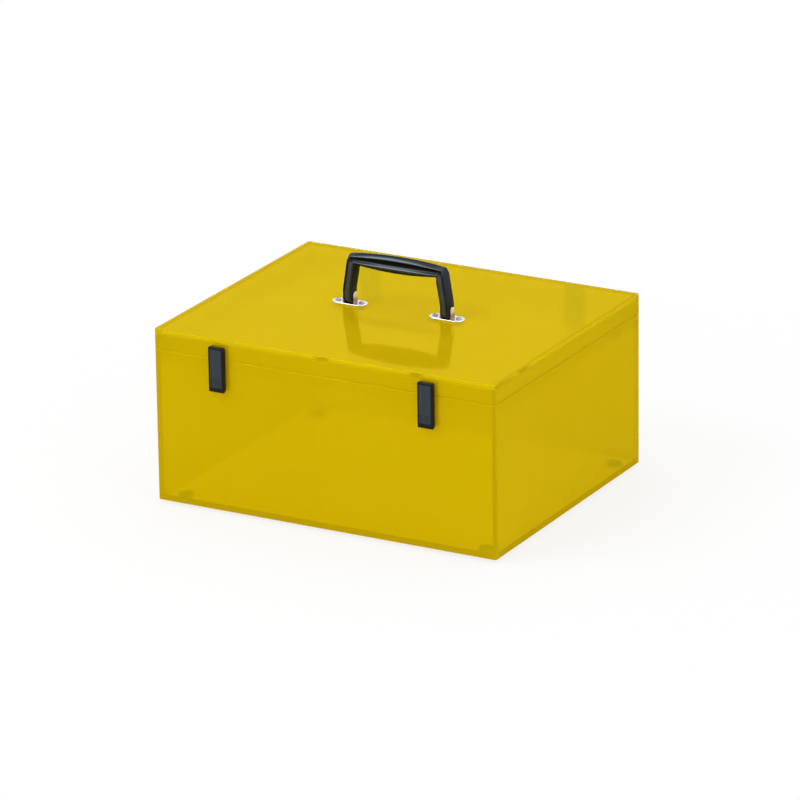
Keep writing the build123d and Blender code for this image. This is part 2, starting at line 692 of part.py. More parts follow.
def handle_pin(x):
    """Rivet through both ears of a seat and the handle's neck."""
    with BuildPart() as pin:
        with BuildSketch(Plane.YZ.offset(x)):
            with Locations((0, pivot_z)):
                Circle(HANDLE_PIN_RADIUS)
        extrude(amount=ear_span / 2, both=True)
        for side in SIDES.values():
            with BuildSketch(Plane.YZ.offset(x + side * ear_span / 2)):
                with Locations((0, pivot_z)):
                    Circle(HANDLE_PIN_HEAD_RADIUS)
            extrude(amount=side * HANDLE_PIN_HEAD)
        ends = pin.faces().filter_by(Axis.X).sort_by(Axis.X)
        fillet([edge for face in (ends[0], ends[-1]) for edge in face.edges()], HANDLE_PIN_HEAD_ROUND)
    return pin


def washers():
    """Washers under the lid's top, one solid each."""
    with BuildPart() as group:
        with BuildSketch(LID_TOP.offset(-TOP_SHEET)):
            with Locations(*seat_screw_points):
                Circle(M3_WASHER_RADIUS)
                Circle(M3_HOLE_RADIUS, mode=Mode.SUBTRACT)
        extrude(amount=-M3_WASHER_SHEET)
    return group


def nuts():
    """Hexagon nuts under the washers, one solid each."""
    with BuildPart() as group:
        with BuildSketch(LID_TOP.offset(-TOP_SHEET - M3_WASHER_SHEET)):
            with Locations(*seat_screw_points):
                RegularPolygon(M3_NUT_FLATS / 2, 6, major_radius=False)
                Circle(M3_RADIUS + SEATED_GAP, mode=Mode.SUBTRACT)
        extrude(amount=-M3_NUT_HEIGHT)
    return group


seat_screws = pan_screws(
    LID_TOP.offset(SEAT_SHEET),
    seat_screw_points,
    M3_RADIUS,
    SEAT_SHEET + TOP_SHEET + M3_WASHER_SHEET + M3_NUT_HEIGHT + M3_TIP,
    M3_HEAD_RADIUS,
    M3_HEAD_HEIGHT,
)
seat_washers = washers()
seat_nuts = nuts()


def edges_at(builder, height):
    """Front-to-rear edges of the part being built, at a height over the lid."""
    across = builder.edges().filter_by(Axis.Y)
    return [edge for edge in across if abs(edge.center().Z - LID_TOP_Z - height) < SAME_HEIGHT]


neck_inner = handle_x - NECK_WIDTH / 2
neck_outer = handle_x + NECK_WIDTH / 2
neck_top = PIVOT_HEIGHT + NECK_ABOVE_PIVOT
neck_end = PIVOT_HEIGHT - NECK_DEPTH / 2
shoulder_outer = LEG_SHOULDER_WIDTH / 2
shoulder_inner = LEG_SHOULDER_INNER / 2
plan_end = handle_x + NECK_WIDTH
recess_end = shoulder_inner
recess_top_end = GRIP_TOP_END - RECESS_UPPER_RIM
recess_bottom_end = recess_top_end - RECESS_END_HEIGHT

with BuildPart() as handle_grip:
    # Front view: a crowned grip on two legs that lean inwards above straight necks
    with BuildSketch(HANDLE_FRONT):
        with BuildLine():
            ThreePointArc(
                (-shoulder_outer, GRIP_TOP_END), (0, GRIP_TOP_MIDDLE), (shoulder_outer, GRIP_TOP_END)
            )
            Polyline(
                (shoulder_outer, GRIP_TOP_END),
                (neck_outer, neck_top),
                (neck_outer, neck_end),
                (neck_inner, neck_end),
                (neck_inner, neck_top),
                (shoulder_inner, GRIP_UNDER_END),
            )
            ThreePointArc(
                (shoulder_inner, GRIP_UNDER_END), (0, GRIP_UNDER_MIDDLE), (-shoulder_inner, GRIP_UNDER_END)
            )
            Polyline(
                (-shoulder_inner, GRIP_UNDER_END),
                (-neck_inner, neck_top),
                (-neck_inner, neck_end),
                (-neck_outer, neck_end),
                (-neck_outer, neck_top),
                (-shoulder_outer, GRIP_TOP_END),
            )
        make_face()
    extrude(amount=GRIP_DEPTH_MIDDLE, both=True)
    fillet(edges_at(handle_grip, GRIP_TOP_END), GRIP_CORNER_RADIUS)
    fillet(edges_at(handle_grip, GRIP_UNDER_END), GRIP_INNER_RADIUS)
    fillet(edges_at(handle_grip, neck_top), NECK_BEND_RADIUS)
    # Plan view: deepest in the middle of the grip
    with BuildSketch(LID_TOP):
        with BuildLine():
            end_depth = GRIP_DEPTH_END / 2
            mid_depth = GRIP_DEPTH_MIDDLE / 2
            Line((-plan_end, -end_depth), (-plan_end, end_depth))
            ThreePointArc((-plan_end, end_depth), (0, mid_depth), (plan_end, end_depth))
            Line((plan_end, end_depth), (plan_end, -end_depth))
            ThreePointArc((plan_end, -end_depth), (0, -mid_depth), (-plan_end, -end_depth))
        make_face()
    extrude(amount=2 * GRIP_TOP_MIDDLE, mode=Mode.INTERSECT)
    broad_faces = handle_grip.faces().sort_by(SortBy.AREA)[-2:]
    fillet([edge for face in broad_faces for edge in face.edges()], HANDLE_EDGE_ROUND)
    # Recesses in the front and rear of the grip and of each leg
    for plane in (HANDLE_FRONT, HANDLE_REAR):
        with BuildSketch(plane.offset(RECESS_FLOOR)):
            with BuildLine():
                ThreePointArc(
                    (-recess_end, recess_top_end),
                    (0, GRIP_TOP_MIDDLE - RECESS_UPPER_RIM),
                    (recess_end, recess_top_end),
                )
                Line((recess_end, recess_top_end), (recess_end, recess_bottom_end))
                ThreePointArc(
                    (recess_end, recess_bottom_end),
                    (0, GRIP_UNDER_MIDDLE + RECESS_LOWER_RIM),
                    (-recess_end, recess_bottom_end),
                )
                Line((-recess_end, recess_bottom_end), (-recess_end, recess_top_end))
            make_face()
        extrude(amount=GRIP_DEPTH_MIDDLE, mode=Mode.SUBTRACT)
        for mirrored in (1, -1):
            leg_low = Vector(mirrored * handle_x, neck_top + NECK_BEND_RADIUS / 2)
            leg_high = Vector(mirrored * (shoulder_outer + shoulder_inner) / 2, GRIP_UNDER_END)
            with BuildSketch(plane.offset(LEG_RECESS_FLOOR)):
                SlotCenterPoint((leg_low + leg_high) / 2, leg_high, LEG_RECESS_WIDTH)
            extrude(amount=GRIP_DEPTH_MIDDLE, mode=Mode.SUBTRACT)
    # Rounded necks, seen from the side, with a bore for each pin
    with BuildSketch(Plane.YZ):
        with Locations((0, pivot_z)):
            Circle(NECK_DEPTH / 2)
        with Locations((0, pivot_z + NECK_ABOVE_PIVOT / 2)):
            Rectangle(NECK_DEPTH, NECK_ABOVE_PIVOT)
        with Locations((0, pivot_z + NECK_ABOVE_PIVOT + GRIP_TOP_MIDDLE / 2)):
            Rectangle(2 * GRIP_DEPTH_MIDDLE, GRIP_TOP_MIDDLE)
    extrude(amount=BOX_WIDTH / 2, both=True, mode=Mode.INTERSECT)
    with BuildSketch(Plane.YZ):
        with Locations((0, pivot_z)):
            Circle(HANDLE_PIN_RADIUS + PIVOT_GAP)
    extrude(amount=BOX_WIDTH / 2, both=True, mode=Mode.SUBTRACT)


# ---------------------------------------------------------------- export

os.makedirs("parts", exist_ok=True)

for piece, name in (
    (bottom_panel, "bottom_panel"),
    (front_panel, "front_panel"),
    (rear_panel, "rear_panel"),
    (left_panel, "left_panel"),
    (right_panel, "right_panel"),
    (lip_front, "lip_front"),
    (lip_rear, "lip_rear"),
    (lip_left, "lip_left"),
    (lip_right, "lip_right"),
    (foot_screws, "foot_screws"),
    (keeper_screws, "keeper_screws"),
    (hinge_body_screws, "hinge_body_screws"),
    (lid_top_panel, "lid_top_panel"),
    (lid_front_rim, "lid_front_rim"),
    (lid_rear_rim, "lid_rear_rim"),
    (lid_left_rim, "lid_left_rim"),
    (lid_right_rim, "lid_right_rim"),
    (latch_base_screws, "latch_base_screws"),
    (hinge_lid_screws, "hinge_lid_screws"),
    (seat_screws, "seat_screws"),
    (seat_washers, "seat_washers"),
    (seat_nuts, "seat_nuts"),
    (handle_grip, "handle_grip"),
):
    export_piece(piece, name)

for side_name, side in SIDES.items():
    export_piece(rubber_foot(side * foot_x, -foot_y), f"foot_front_{side_name}")
    export_piece(rubber_foot(side * foot_x, foot_y), f"foot_rear_{side_name}")
    export_piece(latch_base(side * latch_x), f"latch_base_{side_name}")
    export_piece(latch_keeper(side * latch_x), f"latch_keeper_{side_name}")
    export_piece(latch_lever(side * latch_x), f"latch_lever_{side_name}")
    export_piece(latch_pin(side * latch_x), f"latch_pin_{side_name}")
    export_piece(
        hinge_leaf(side * hinge_x, 1, HINGE_ABOVE_SEAM, middle_knuckle), f"hinge_lid_leaf_{side_name}"
    )
    export_piece(
        hinge_leaf(side * hinge_x, -1, HINGE_BELOW_SEAM, outer_knuckles), f"hinge_body_leaf_{side_name}"
    )
    export_piece(hinge_pin(side * hinge_x), f"hinge_pin_{side_name}")
    export_piece(handle_seat(side * handle_x), f"handle_seat_{side_name}")
    export_piece(handle_pin(side * handle_x), f"handle_pin_{side_name}")
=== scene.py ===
"""Specimen transport box: looks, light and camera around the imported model. Metres, +Z up."""
import json
from math import asin, copysign, cos, pi, radians, sin, sqrt, tan

import bmesh
import bpy
from mathutils import Matrix, Vector


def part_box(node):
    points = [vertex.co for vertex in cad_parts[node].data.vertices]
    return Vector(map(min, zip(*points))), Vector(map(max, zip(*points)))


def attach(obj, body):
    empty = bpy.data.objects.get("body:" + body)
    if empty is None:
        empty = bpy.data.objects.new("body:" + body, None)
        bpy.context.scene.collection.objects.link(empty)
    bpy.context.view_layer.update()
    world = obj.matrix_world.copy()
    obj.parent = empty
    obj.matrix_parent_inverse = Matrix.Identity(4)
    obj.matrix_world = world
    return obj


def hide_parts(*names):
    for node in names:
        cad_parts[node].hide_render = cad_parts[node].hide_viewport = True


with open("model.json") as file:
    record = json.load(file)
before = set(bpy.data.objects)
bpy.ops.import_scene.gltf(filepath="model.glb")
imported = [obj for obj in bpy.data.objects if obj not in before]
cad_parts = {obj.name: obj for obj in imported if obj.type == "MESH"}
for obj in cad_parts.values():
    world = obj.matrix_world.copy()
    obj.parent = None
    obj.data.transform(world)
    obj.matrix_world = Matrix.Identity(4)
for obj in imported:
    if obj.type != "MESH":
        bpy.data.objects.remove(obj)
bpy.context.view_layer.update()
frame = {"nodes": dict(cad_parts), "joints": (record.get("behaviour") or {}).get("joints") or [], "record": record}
nodes = frame["nodes"]
bpy.context.scene.view_settings.view_transform = "Standard"

MM = 0.001

# ---------------------------------------------------------------- colours (linear light)

YELLOW = (0.72, 0.535, 0.0015)
YELLOW_CLOUD = (0.76, 0.575, 0.004)  # where the sheet's colour is a little thinner
YELLOW_MIRROR = (1.0, 0.93, 0.62)  # edge tint of what the sheet mirrors
YELLOW_SEEN_THROUGH = (0.86, 0.69, 0.01)  # what one sheet does to the light that passes it
CLEAR_SEEN_THROUGH = (0.97, 0.965, 0.93)
FITTING_BLACK = (0.010, 0.012, 0.015)
LEVER_PANEL = (0.038, 0.048, 0.062)  # grained face of the latch levers
LEVER_BORDER = (0.004, 0.005, 0.008)  # polished border around it
HANDLE_HOLLOW_SHADE = (0.007, 0.008, 0.010)  # painted shade: the grip's black darkened in its hollows
HANDLE_ROLL_HIGHLIGHT = (0.056, 0.066, 0.075)  # the same, lightened on the rolls as a painted highlight
# Painted shade in the legs' hollows, and painted highlight bands on their ridges
LEG_HOLLOW_SHADE = (0.010, 0.012, 0.018)
LEG_BAND_HIGHLIGHT = (0.078, 0.088, 0.105)
HANDLE_EDGE = (0.45, 0.50, 0.55)  # edge tint of what the handle mirrors
CHROME = (0.84, 0.82, 0.85)
EAR_TOP = (0.97, 0.88, 0.76)  # satin plating of the pressed ears
EAR_FOOT_SHADE = (0.40, 0.25, 0.15)  # the same, darkened to painted brown shade where they are bent up out of the plate
ZINC = (0.40, 0.40, 0.45)
RUBBER = (0.035, 0.034, 0.033)
FLOOR_PALE = (0.93, 0.93, 0.93)
WHITE = (1.0, 1.0, 1.0)


def shaded(colour, share):
    """A colour made darker, or lighter with a share over 1."""
    return tuple(part * share for part in colour)


# ---------------------------------------------------------------- textures

# Noise: cells in a metre, detail, and the share of the cells' number that is kept along each axis
CLOUD = (9.0, 2.0)  # in the sheets' colour
WAVE = (14.0, 1.0)  # in their surface
SCUFF = (420.0, 4.0, (1.0, 0.25, 1.0))  # in their gloss
WEAR = (180.0, 4.0, (0.35, 1.0, 1.0))  # in the colour and gloss of black plastic
GRAIN = (2600.0, 2.0)  # in its moulded surface
STREAKS = (900.0, 3.0, (1.0, 1.0, 0.04))  # down the levers' panels
CHROME_MARKS = (900.0, 4.0, (1.0, 0.2, 1.0))
ZINC_MARKS = (1400.0, 4.0, (1.0, 0.2, 1.0))
EAR_MARKS = (1100.0, 3.0)
RUBBER_GRAIN = (1500.0, 4.0)
NOISE_LOW, NOISE_HIGH = 0.3, 0.7  # nearly all of a noise lies between these

# ---------------------------------------------------------------- node trees


class Nodes:
    """The nodes of a material or a world, with short ways to add and join them."""

    def __init__(self, owner, output):
        owner.use_nodes = True
        self.owner = owner
        self.tree = owner.node_tree
        self.tree.nodes.clear()
        self.output = self.node(output)

    def node(self, kind, settings=None, **inputs):
        """A node with its inputs, whose names are written with _ for a space."""
        made = self.tree.nodes.new("ShaderNode" + kind)
        for key, value in (settings or {}).items():
            setattr(made, key, value)
        for key, value in inputs.items():
            self.set(made.inputs[key.replace("_", " ")], value)
        return made

    def set(self, socket, value):
        """Joins a socket to another one, or gives it a value."""
        if isinstance(value, bpy.types.NodeSocket):
            self.tree.links.new(value, socket)
        elif socket.type == "RGBA":
            socket.default_value = (*value, 1.0)
        else:
            socket.default_value = value

    def math(self, operation, first, second=0.0):
        """What a Math node makes of one value or two."""
        made = self.node("Math", {"operation": operation})
        self.set(made.inputs[0], first)
        self.set(made.inputs[1], second)
        return made.outputs[0]

    def span(self, value, low, high, from_low=NOISE_LOW, from_high=NOISE_HIGH):
        """Low to high, as the value goes from from_low to from_high."""
        ends = {"From_Min": from_low, "From_Max": from_high, "To_Min": low, "To_Max": high}
        return self.node("MapRange", Value=value, **ends).outputs[0]

    def blend(self, factor, first, second):
        """A colour between two, which are the node's inputs 6 and 7."""
        made = self.node("Mix", {"data_type": "RGBA"})
        self.set(made.inputs[0], factor)
        self.set(made.inputs[6], first)
        self.set(made.inputs[7], second)
        return made.outputs[2]

    def mixed(self, factor, first, second):
        """A node whose shader lies between those of two nodes."""
        made = self.node("MixShader")
        self.set(made.inputs[0], factor)
        self.set(made.inputs[1], first.outputs[0])
        self.set(made.inputs[2], second.outputs[0])
        return made

    def in_sight(self):
        """1 for what is seen, straight, mirrored or through a sheet, and 0 for light alone."""
        path = self.node("LightPath")
        turned = self.math("MAXIMUM", path.outputs["Is Glossy Ray"], path.outputs["Is Transmission Ray"])
        return self.math("MAXIMUM", path.outputs["Is Camera Ray"], turned)

    def finish(self, shader):
        """The material or world, with the shader of a node as its surface."""
        self.set(self.output.inputs["Surface"], shader.outputs[0])
        return self.owner


class Shader(Nodes):
    """A material's nodes, with textures laid out in metres."""

    def __init__(self, name):
        super().__init__(bpy.data.materials.new(name), "OutputMaterial")
        self.place = self.node("TexCoord").outputs["Object"]

    def coordinates(self):
        """The place's X, Y and Z."""
        return self.node("SeparateXYZ", Vector=self.place).outputs

    def noise(self, scale, detail, axes=(1.0, 1.0, 1.0)):
        """One of the textures above."""
        mapping = self.node("Mapping", Vector=self.place, Scale=axes)
        made = self.node("TexNoise", Vector=mapping.outputs[0], Scale=scale, Detail=detail)
        return made.outputs["Fac"]

    def bump(self, height, depth, strength):
        """Normals of a surface that rises and falls by up to that depth."""
        made = self.node("Bump", Height=height, Strength=strength, Distance=depth)
        return made.outputs[0]


# ---------------------------------------------------------------- sheets

SHEET_BODY = 0.62  # how much of a sheet's look is its own colour, and not what is behind it
BASE_BODY = 0.36  # the same of the base, whose feet show more clearly
SHEET_METALLIC = 0.28  # how strongly a sheet mirrors, in its own yellow
SHEET_HAZE = 0.14  # blurs what is far behind a sheet, and hardly what touches it
SHEET_IOR = 1.49
MIRRORED_BEND = 0.55  # share of the bending that is left for sight that was mirrored on its way


def yellow_sheet(name, body):
    """Glossy translucent sheet: deep yellow, faintly cloudy, and hazy for what is far behind it."""
    s = Shader(name)
    gloss = s.node(
        "BsdfPrincipled",
        Base_Color=s.blend(s.span(s.noise(*CLOUD), 0.0, 0.5), YELLOW, YELLOW_CLOUD),
        Roughness=s.span(s.noise(*SCUFF), 0.035, 0.075),
        Normal=s.bump(s.noise(*WAVE), depth=0.4 * MM, strength=0.25),
        IOR=SHEET_IOR,
        Specular_IOR_Level=0.0,
        Specular_Tint=YELLOW_MIRROR,
        Metallic=SHEET_METALLIC,
    )
    # Only sight is bent: light from lamps and from other surfaces passes straight on
    path = s.node("LightPath")
    sight = s.math("MAXIMUM", path.outputs["Is Camera Ray"], path.outputs["Is Transmission Ray"])
    sight = s.math("MAXIMUM", sight, s.math("MULTIPLY", path.outputs["Is Glossy Ray"], MIRRORED_BEND))
    straight = s.node("BsdfTransparent", Color=YELLOW_SEEN_THROUGH)
    bent = s.node("BsdfRefraction", Color=YELLOW_SEEN_THROUGH, IOR=SHEET_IOR, Roughness=SHEET_HAZE)
    outside = s.mixed(body, s.mixed(sight, straight, bent), gloss)
    # Light leaves a sheet untinted, so that each sheet counts once
    clear = s.node("BsdfTransparent", Color=WHITE)
    bent_back = s.node("BsdfGlass", Color=WHITE, IOR=SHEET_IOR, Roughness=0.0)
    inside = s.mixed(sight, clear, bent_back)
    return s.finish(s.mixed(s.node("NewGeometry").outputs["Backfacing"], outside, inside))


def clear_strip():
    """Clear sheet, all but unseen, with a faint gloss."""
    s = Shader("clear_strip")
    scuff = s.noise(*SCUFF)
    gloss = s.node(
        "BsdfPrincipled",
        Base_Color=YELLOW_CLOUD,
        Roughness=s.span(scuff, 0.05, 0.12),
        Specular_Tint=YELLOW_MIRROR,
    )
    through = s.node("BsdfTransparent", Color=CLEAR_SEEN_THROUGH)
    return s.finish(s.mixed(s.span(scuff, 0.03, 0.06), through, gloss))


# ---------------------------------------------------------------- black plastic

PLASTIC_IOR = 1.53
LEG_FROM, LEG_BLEND = 41.0 * MM, 7.0 * MM  # from the handle's middle, where its legs' colours come in
LEG_MATT = 0.14  # how much rougher the legs are than the grip
LEVER_LOW, LEVER_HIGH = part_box("latch_lever_right")  # the left one is its mirror image
PANEL_SIDE, PANEL_TOP, PANEL_FOOT = 1.7 * MM, 2.1 * MM, 4.2 * MM  # border around a lever's panel
PANEL_FADE = 0.5 * MM  # over which the panel ends
FACE_FROM, FACE_TO = 0.3 * MM, 0.6 * MM  # behind the lever's front, where its face ends


def fitting_plastic():
    """Moulded black plastic with fine grain and uneven gloss."""
    s = Shader("fitting_plastic")
    wear = s.noise(*WEAR)
    plastic = s.node(
        "BsdfPrincipled",
        Base_Color=s.blend(s.span(wear, 0.0, 0.5), FITTING_BLACK, shaded(FITTING_BLACK, 1.5)),
        Roughness=s.span(wear, 0.34, 0.46),
        Normal=s.bump(s.noise(*GRAIN), depth=0.03 * MM, strength=0.4),
        IOR=PLASTIC_IOR,
        Specular_IOR_Level=0.25,
    )
    return s.finish(plastic)


def handle_plastic():
    """Near-black plastic with painted highlights on the rolls of the grip and painted shade in its hollows, and
    more matt on the legs.
    """
    s = Shader("handle_plastic")
    wear = s.noise(*WEAR)
    # Share of painted light: 1 for a painted highlight on the rolls, 0 for painted shade in the hollows
    painted_light = s.node("Attribute", {"attribute_name": "painted_light"}).outputs["Fac"]
    # the painted light, varied a little by random wear
    highlight_and_wear = s.math("MULTIPLY", painted_light, s.span(wear, 0.85, 1.0))
    aside = s.math("ABSOLUTE", s.coordinates()["X"])
    leg = s.span(aside, 0.0, 1.0, LEG_FROM, LEG_FROM + LEG_BLEND)
    hollow = s.blend(leg, HANDLE_HOLLOW_SHADE, LEG_HOLLOW_SHADE)
    rolled = s.blend(leg, HANDLE_ROLL_HIGHLIGHT, LEG_BAND_HIGHLIGHT)
    plastic = s.node(
        "BsdfPrincipled",
        Base_Color=s.blend(highlight_and_wear, hollow, rolled),
        Roughness=s.math("ADD", s.span(wear, 0.20, 0.27), s.math("MULTIPLY", leg, LEG_MATT)),
        Metallic=s.span(leg, 0.9, 0.4, 0.0, 1.0),
        Normal=s.bump(s.noise(*GRAIN), depth=0.004 * MM, strength=0.4),
        Specular_IOR_Level=0.1,
        Specular_Tint=HANDLE_EDGE,
    )
    return s.finish(plastic)


def lever_plastic():
    """The levers' plastic: a grained face panel, lighter than the polished border around it."""
    s = Shader("lever_plastic")
    place = s.coordinates()
    middle = (LEVER_LOW.x + LEVER_HIGH.x) / 2
    aside = s.math("ABSOLUTE", s.math("SUBTRACT", s.math("ABSOLUTE", place["X"]), middle))
    side = (LEVER_HIGH.x - LEVER_LOW.x) / 2 - PANEL_SIDE
    top = LEVER_HIGH.z - PANEL_TOP
    foot = LEVER_LOW.z + PANEL_FOOT
    inside = [
        s.span(aside, 1.0, 0.0, side - PANEL_FADE, side),
        s.span(place["Z"], 1.0, 0.0, top - PANEL_FADE, top),
        s.span(place["Z"], 0.0, 1.0, foot, foot + PANEL_FADE),
        s.span(place["Y"], 1.0, 0.0, LEVER_LOW.y + FACE_FROM, LEVER_LOW.y + FACE_TO),
    ]
    panel = inside[0]
    for share in inside[1:]:
        panel = s.math("MULTIPLY", panel, share)
    grained = s.blend(s.span(s.noise(*STREAKS), 0.0, 1.0), LEVER_PANEL, shaded(LEVER_PANEL, 0.72))
    grain = s.math("MULTIPLY", s.noise(*GRAIN), panel)
    plastic = s.node(
        "BsdfPrincipled",
        Base_Color=s.blend(panel, LEVER_BORDER, grained),
        Roughness=s.span(panel, 0.24, 0.5, 0.0, 1.0),
        Normal=s.bump(grain, depth=0.05 * MM, strength=0.6),
        IOR=PLASTIC_IOR,
        Specular_IOR_Level=0.16,
    )
    return s.finish(plastic)


# ---------------------------------------------------------------- metal and rubber

EAR_SHADE_ENDS = (0.30, 0.62)  # shares of an ear's height between which its painted shade ends
SHADE_RAGGED = 0.5 * MM  # how far the painted shade's edge strays up and down


def plated(name, colour, roughness, texture):
    """Plated steel, with fine uneven gloss."""
    s = Shader(name)
    marks = s.noise(*texture)
    metal = s.node(
        "BsdfPrincipled",
        Base_Color=s.blend(s.span(marks, 0.0, 1.0), colour, shaded(colour, 0.86)),
        Roughness=s.span(marks, *roughness),
        Normal=s.bump(marks, depth=0.02 * MM, strength=0.3),
        Metallic=1.0,
    )
    return s.finish(metal)


def ear_plating(foot, top):
    """Satin plated steel, with painted brown shade near its foot."""
    s = Shader("ear_plating")
    marks = s.noise(*EAR_MARKS)
    uneven = s.math("ADD", s.coordinates()["Z"], s.span(marks, -SHADE_RAGGED, SHADE_RAGGED))
    shade_ends = [foot + (top - foot) * share for share in EAR_SHADE_ENDS]
    metal = s.node(
        "BsdfPrincipled",
        Base_Color=s.blend(s.span(uneven, 0.0, 1.0, *shade_ends), EAR_FOOT_SHADE, EAR_TOP),
        Roughness=s.span(marks, 0.40, 0.50),
        Normal=s.bump(marks, depth=0.02 * MM, strength=0.3),
        Metallic=0.6,
    )
    return s.finish(metal)


def foot_rubber():
    """Matt moulded rubber."""
    s = Shader("foot_rubber")
    grain = s.noise(*RUBBER_GRAIN)
    rubber = s.node(
        "BsdfPrincipled",
        Base_Color=s.blend(s.span(grain, 0.0, 1.0), RUBBER, shaded(RUBBER, 1.5)),
        Roughness=s.span(grain, 0.75, 0.9),
        Normal=s.bump(grain, depth=0.06 * MM, strength=0.6),
    )
    return s.finish(rubber)


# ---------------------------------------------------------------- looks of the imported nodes

materials = {
    "yellow_sheet": yellow_sheet("yellow_sheet", SHEET_BODY),
    "clear_strip": clear_strip(),
    "fitting_plastic": fitting_plastic(),
    "handle_plastic": handle_plastic(),
    "chrome": plated("chrome", CHROME, (0.06, 0.14), CHROME_MARKS),
    "zinc_steel": plated("zinc_steel", ZINC, (0.24, 0.38), ZINC_MARKS),
    "foot_rubber": foot_rubber(),
}
lever_look = lever_plastic()
own_looks = {
    "bottom_panel": yellow_sheet("yellow_base", BASE_BODY),
    "latch_lever_left": lever_look,
    "latch_lever_right": lever_look,
}
for subpart in frame["record"]["subparts"]:
    look = own_looks.get(subpart["node"], materials[subpart["material_slot"]])
    for material_slot in nodes[subpart["node"]].material_slots:
        material_slot.material = look

# ---------------------------------------------------------------- making pieces

LID_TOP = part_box("lid_top_panel")[1].z
fold = next(joint for joint in frame["joints"] if joint["name"] == "handle_fold")
PIVOT = Vector(fold["pos_m"])


def new_object(name, data):
    """An object in the scene."""
    made = bpy.data.objects.new(name, data)
    bpy.context.scene.collection.objects.link(made)
    return made


def mesh_piece(name, mesh, body, slot, look=None):
    """A new piece that rides on a body, with its slot's material or a look of its own."""
    piece = new_object(name, mesh)
    mesh.materials.clear()
    mesh.materials.append(look or materials[slot])
    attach(piece, body)
    return piece


def mesh_from(made, name):
    """The mesh of a closed bmesh, with its faces outward."""
    bmesh.ops.recalc_face_normals(made, faces=made.faces)
    mesh = bpy.data.meshes.new(name)
    made.to_mesh(mesh)
    made.free()
    return mesh


def join_rings(made, rings):
    """Faces from each ring of points to the next; a ring may be one point many times over."""
    for near, far in zip(rings, rings[1:]):
        for i in range(len(near)):
            j = (i + 1) % len(near)
            made.faces.new(dict.fromkeys((near[i], near[j], far[j], far[i])))


def cut_mesh(mesh, cutter):
    """A mesh less the closed form in a bmesh."""
    tool_mesh = bpy.data.meshes.new("cutter")
    cutter.to_mesh(tool_mesh)
    cutter.free()
    tool = new_object("cutter", tool_mesh)
    body = new_object("cut", mesh)
    cut = body.modifiers.new("cut", "BOOLEAN")
    cut.object = tool
    cut.operation = "DIFFERENCE"
    cut.solver = "EXACT"
    graph = bpy.context.evaluated_depsgraph_get()
    result = bpy.data.meshes.new_from_object(body.evaluated_get(graph), depsgraph=graph)
    for thing in (tool, body):
        bpy.data.objects.remove(thing)
    return result


# ---------------------------------------------------------------- handle

# Heights are over the lid, and widths are from the handle's middle
GRIP_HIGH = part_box("handle_grip")[1]
PIVOT_UP = PIVOT.z - LID_TOP
MIDDLE_TOP, MIDDLE_UNDER = GRIP_HIGH.z - LID_TOP, 36.9 * MM
END_TOP, END_UNDER = 49.8 * MM, 40.2 * MM
SHOULDER_OUT, SHOULDER_IN = 50.9 * MM, 42.6 * MM
NECK_OUT, NECK_IN = 56.7 * MM, 47.3 * MM
NECK_TOP = 14.0 * MM
NECK_EASE = (0.9, 1.5)  # shares of the neck's height over which it turns into the leg
NECK_HALF, NECK_CORNER = 6.4 * MM, 0.7 * MM  # its half depth, and its rounded corners
NECK_ROUND = 6.6 * MM  # radius of its end, about the pins
OUTER_CORNER, INNER_CORNER = 1.7 * MM, 2.0 * MM
CORNER_TOWARDS = 0.8  # share of a shoulder's width where the grip's run from its corner is aimed
LEG_EASE = 6.0 * MM  # height over which the legs' section turns into the grip's
PIN_BORE = 2.05 * MM  # radius
BORE_SIDES = 48
NECK_END_STEPS, NECK_STEPS, LEG_STEPS, CORNER_STEPS, CROWN_STEPS = 9, 14, 14, 7, 22
# Half of a section: share of the way from its outer to its inner edge, half depth in mm, and painted light (1 for
# a painted highlight, 0 for painted shade)
GRIP_PROFILE = (
    (0.0, 0.0, 0.4),
    (0.006, 1.6, 0.4),
    (0.025, 2.9, 0.5),
    (0.205, 5.3, 1.0),
    (0.265, 4.1, 0.0),
    (0.485, 4.1, 0.0),
    (0.67, 6.8, 1.0),
    (0.78, 6.5, 0.5),
    (0.92, 5.0, 0.2),
    (0.985, 2.6, 0.2),
    (1.0, 0.0, 0.2),
)
LEG_PROFILE = (
    (0.0, 0.0, 0.3),
    (0.01, 4.8, 0.3),
    (0.05, 6.5, 0.4),
    (0.15, 6.7, 0.1),
    (0.24, 5.9, 0.0),
    (0.36, 6.7, 1.0),
    (0.66, 6.8, 1.0),
    (0.82, 6.7, 0.4),
    (0.94, 6.3, 0.3),
    (0.99, 4.4, 0.3),
    (1.0, 0.0, 0.3),
)
EASES = (0.16, 0.25)  # how far each round of easing cuts into a profile's corners


def arc_height(x, half_width, end, middle):
    """Height at x of an arc through both ends and the middle of the grip."""
    rise = middle - end
    radius = (half_width**2 + rise**2) / (2 * rise)
    return middle + (copysign(sqrt(radius**2 - x**2), radius) - radius)


def rounded_corner(before, corner, after, radius):
    """Points that replace a corner between two straight runs."""
    into, out = (before - corner).normalized(), (after - corner).normalized()
    trim = radius / tan(into.angle(out) / 2)
    start, end = corner + into * trim, corner + out * trim
    bend = []
    for step in range(CORNER_STEPS + 1):
        t = step / CORNER_STEPS
        bend.append(start * (1 - t) ** 2 + corner * 2 * t * (1 - t) + end * t**2)
    return bend


